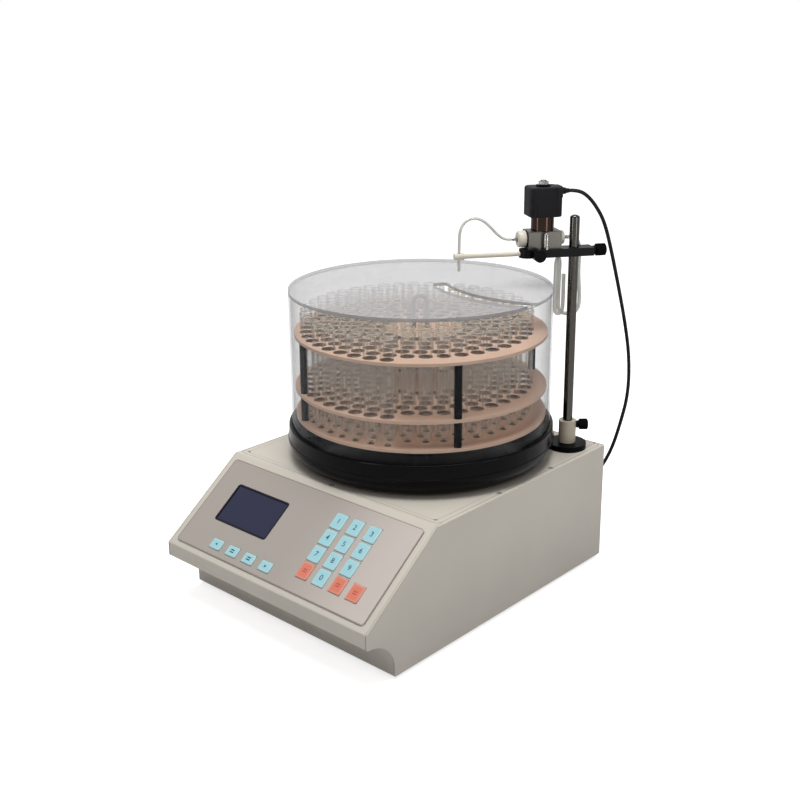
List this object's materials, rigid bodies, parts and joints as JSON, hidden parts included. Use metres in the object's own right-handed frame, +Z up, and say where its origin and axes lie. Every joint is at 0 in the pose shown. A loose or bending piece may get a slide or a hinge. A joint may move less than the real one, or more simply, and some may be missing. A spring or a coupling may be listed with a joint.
{
  "type": "fraction collector",
  "caption": "Fraction collector: sloping keypad case, covered turntable with a spiral rack of test tubes, and a swinging mast arm with a valve and drop nozzle.",
  "frame": {"origin": "middle of the case's footprint, gland included, on the surface that the feet stand on", "axes": "+X to the right of the control panel, +Y to the rear, +Z up along the mast and the turntable's axis"},
  "size_m": [0.28, 0.4206, 0.4133],
  "materials": {
    "case_paint": "fine textured beige enamel",
    "overlay_film": "satin taupe panel",
    "screen_glass": "dark display",
    "circuit_board": "green laminate",
    "rubber": "matt",
    "dark_screw": "blackened",
    "black_plastic": "moulded",
    "black_gloss": "gloss enamel",
    "blue_key": "moulded",
    "red_key": "moulded",
    "clear_cover": "clear acrylic",
    "tube_glass": "clear",
    "disc_plastic": "satin",
    "steel": "ground",
    "bearing_steel": "polished",
    "aluminium": "machined",
    "motor_case": "black, with bright end caps",
    "belt_rubber": "matt",
    "ivory_plastic": "turned",
    "white_tube": "satin fluoropolymer",
    "clear_hose": "translucent",
    "cable_sheath": "satin",
    "beige_collar": "satin enamel"
  },
  "bodies": {
    "housing": {"base_plate": "case_paint", "front_cover": "case_paint", "left_side_panel": "case_paint", "right_side_panel": "case_paint", "rear_panel": "case_paint", "top_plate": "case_paint", "control_overlay": "overlay_film", "display_module": "screen_glass", "circuit_boards": "circuit_board", "rubber_feet": "rubber", "case_screws": "dark_screw", "rear_connectors": "black_plastic", "mast_flange": "black_plastic", "drip_pan": "black_gloss", "bearing_unit": "aluminium", "stepper_motors": "motor_case", "drive_belt": "belt_rubber", "valve_cable": "cable_sheath"},
    "turntable": {"turntable_spindle": "aluminium", "rack_lower_disc": "disc_plastic", "rack_middle_disc": "disc_plastic", "rack_upper_disc": "disc_plastic", "rack_posts": "black_plastic", "rack_handle": "steel", "sample_tubes": "tube_glass"},
    "motor_pulley": {"motor_pulley": "aluminium"},
    "cover": {"cover_wall": "clear_cover", "cover_lid": "clear_cover"},
    "mast": {"mast_column": "bearing_steel", "mast_collar": "beige_collar"},
    "collar_knob": {"collar_knob": "black_plastic"},
    "arm": {"clamp_bar": "black_gloss", "valve_body": "steel", "valve_core": "steel", "valve_coil": "black_plastic", "valve_fasteners": "steel", "valve_fittings": "ivory_plastic", "inlet_hose": "clear_hose"},
    "clamp_knob": {"clamp_knob": "black_plastic"},
    "rod_knob": {"rod_knob": "black_plastic"},
    "nozzle_rod": {"nozzle_rod": "ivory_plastic", "drop_tube": "white_tube"},
    "power_rocker": {"power_rocker": "black_plastic"},
    "key_0": {"key_0": "blue_key"},
    "key_1": {"key_1": "blue_key"},
    "key_2": {"key_2": "blue_key"},
    "key_3": {"key_3": "blue_key"},
    "key_4": {"key_4": "blue_key"},
    "key_5": {"key_5": "blue_key"},
    "key_6": {"key_6": "blue_key"},
    "key_7": {"key_7": "blue_key"},
    "key_8": {"key_8": "blue_key"},
    "key_9": {"key_9": "blue_key"},
    "key_red_left": {"key_red_left": "red_key"},
    "key_red_middle": {"key_red_middle": "red_key"},
    "key_red_right": {"key_red_right": "red_key"},
    "key_function_1": {"key_function_1": "blue_key"},
    "key_function_2": {"key_function_2": "blue_key"},
    "key_function_3": {"key_function_3": "blue_key"},
    "key_function_4": {"key_function_4": "blue_key"}
  },
  "joints": [
    {"name": "turntable_spin", "type": "hinge", "parent": "housing", "child": "turntable", "pos_m": [0, 0.04, 0.094], "axis": [0, 0, 1], "continuous": true},
    {"name": "motor_spin", "type": "hinge", "parent": "housing", "child": "motor_pulley", "pos_m": [-0.075, 0.04, 0.059], "axis": [0, 0, 1], "continuous": true},
    {"name": "cover_lift", "type": "slide", "parent": "housing", "child": "cover", "axis": [0, 0, 1], "range_m": [0, 0.01]},
    {"name": "mast_swing", "type": "hinge", "parent": "housing", "child": "mast", "pos_m": [0.113, 0.146, 0.134], "axis": [0, 0, 1], "range_deg": [-10, 52], "deforming": ["valve_cable"]},
    {"name": "collar_knob_turn", "type": "hinge", "parent": "mast", "child": "collar_knob", "pos_m": [0.1247, 0.15691, 0.1562], "axis": [0.7314, 0.682, 0], "range_deg": [-180, 180]},
    {"name": "arm_height", "type": "slide", "parent": "mast", "child": "arm", "axis": [0, 0, 1], "range_m": [-0.014, 0.028], "deforming": ["valve_cable"]},
    {"name": "clamp_knob_turn", "type": "hinge", "parent": "arm", "child": "clamp_knob", "pos_m": [0.12797, 0.16602, 0.342], "axis": [-0.599, -0.8007, 0], "range_deg": [-180, 180]},
    {"name": "rod_knob_turn", "type": "hinge", "parent": "arm", "child": "rod_knob", "pos_m": [0.09805, 0.10598, 0.3415], "axis": [0.8007, -0.599, 0], "range_deg": [-180, 180]},
    {"name": "nozzle_reach", "type": "slide", "parent": "arm", "child": "nozzle_rod", "axis": [-0.599, -0.8007, 0], "range_m": [-0.01, 0.01], "deforming": ["drop_tube"]},
    {"name": "power_switch", "type": "hinge", "parent": "housing", "child": "power_rocker", "pos_m": [-0.085, 0.173, 0.071], "axis": [-1, 0, 0], "range_deg": [0, 14]},
    {"name": "key_0_press", "type": "slide", "parent": "housing", "child": "key_0", "axis": [0, 0.6, -0.8], "range_m": [0, 0.0005], "stiffness_N_per_m": 800},
    {"name": "key_1_press", "type": "slide", "parent": "housing", "child": "key_1", "axis": [0, 0.6, -0.8], "range_m": [0, 0.0005], "stiffness_N_per_m": 800},
    {"name": "key_2_press", "type": "slide", "parent": "housing", "child": "key_2", "axis": [0, 0.6, -0.8], "range_m": [0, 0.0005], "stiffness_N_per_m": 800},
    {"name": "key_3_press", "type": "slide", "parent": "housing", "child": "key_3", "axis": [0, 0.6, -0.8], "range_m": [0, 0.0005], "stiffness_N_per_m": 800},
    {"name": "key_4_press", "type": "slide", "parent": "housing", "child": "key_4", "axis": [0, 0.6, -0.8], "range_m": [0, 0.0005], "stiffness_N_per_m": 800},
    {"name": "key_5_press", "type": "slide", "parent": "housing", "child": "key_5", "axis": [0, 0.6, -0.8], "range_m": [0, 0.0005], "stiffness_N_per_m": 800},
    {"name": "key_6_press", "type": "slide", "parent": "housing", "child": "key_6", "axis": [0, 0.6, -0.8], "range_m": [0, 0.0005], "stiffness_N_per_m": 800},
    {"name": "key_7_press", "type": "slide", "parent": "housing", "child": "key_7", "axis": [0, 0.6, -0.8], "range_m": [0, 0.0005], "stiffness_N_per_m": 800},
    {"name": "key_8_press", "type": "slide", "parent": "housing", "child": "key_8", "axis": [0, 0.6, -0.8], "range_m": [0, 0.0005], "stiffness_N_per_m": 800},
    {"name": "key_9_press", "type": "slide", "parent": "housing", "child": "key_9", "axis": [0, 0.6, -0.8], "range_m": [0, 0.0005], "stiffness_N_per_m": 800},
    {"name": "key_red_left_press", "type": "slide", "parent": "housing", "child": "key_red_left", "axis": [0, 0.6, -0.8], "range_m": [0, 0.0005], "stiffness_N_per_m": 800},
    {"name": "key_red_middle_press", "type": "slide", "parent": "housing", "child": "key_red_middle", "axis": [0, 0.6, -0.8], "range_m": [0, 0.0005], "stiffness_N_per_m": 800},
    {"name": "key_red_right_press", "type": "slide", "parent": "housing", "child": "key_red_right", "axis": [0, 0.6, -0.8], "range_m": [0, 0.0005], "stiffness_N_per_m": 800},
    {"name": "key_function_1_press", "type": "slide", "parent": "housing", "child": "key_function_1", "axis": [0, 0.6, -0.8], "range_m": [0, 0.0005], "stiffness_N_per_m": 800},
    {"name": "key_function_2_press", "type": "slide", "parent": "housing", "child": "key_function_2", "axis": [0, 0.6, -0.8], "range_m": [0, 0.0005], "stiffness_N_per_m": 800},
    {"name": "key_function_3_press", "type": "slide", "parent": "housing", "child": "key_function_3", "axis": [0, 0.6, -0.8], "range_m": [0, 0.0005], "stiffness_N_per_m": 800},
    {"name": "key_function_4_press", "type": "slide", "parent": "housing", "child": "key_function_4", "axis": [0, 0.6, -0.8], "range_m": [0, 0.0005], "stiffness_N_per_m": 800}
  ],
  "couplings": [
    {"joint": "motor_spin", "follows": "turntable_spin", "ratio": 4}
  ]
}
